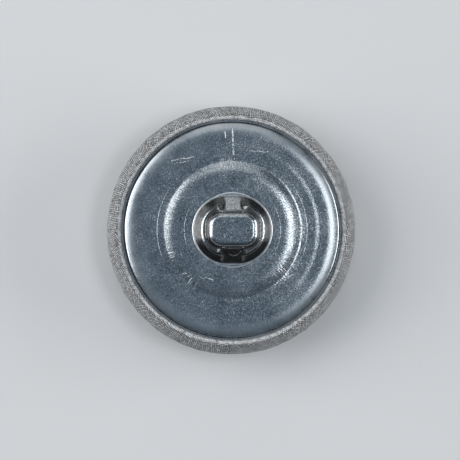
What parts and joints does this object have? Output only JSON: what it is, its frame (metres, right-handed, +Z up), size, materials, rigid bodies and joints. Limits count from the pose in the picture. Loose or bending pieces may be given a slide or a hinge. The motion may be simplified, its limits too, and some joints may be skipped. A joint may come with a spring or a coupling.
{
  "type": "fabric covered button",
  "caption": "Round domed button covered in light grey cloth, with a stepped pressed metal back and a hollow raised shank for the thread.",
  "frame": {"origin": "on the button's axis, at the lowest point of the domed face that it rests on", "axes": "+Z up from the face to the back and the shank, +Y along the thread slot, +X across it"},
  "size_m": [0.0286, 0.0286, 0.0094],
  "materials": {
    "back_metal": "pressed and polished, lightly scuffed, with faint draw marks",
    "shell_metal": "plain bright sheet, hidden by the cloth",
    "cover_cloth": "fine plain weave, matte with a slight sheen"
  },
  "bodies": {
    "root": {"back_plate": "back_metal", "front_shell": "shell_metal", "fabric_cover": "cover_cloth"}
  },
  "joints": []
}
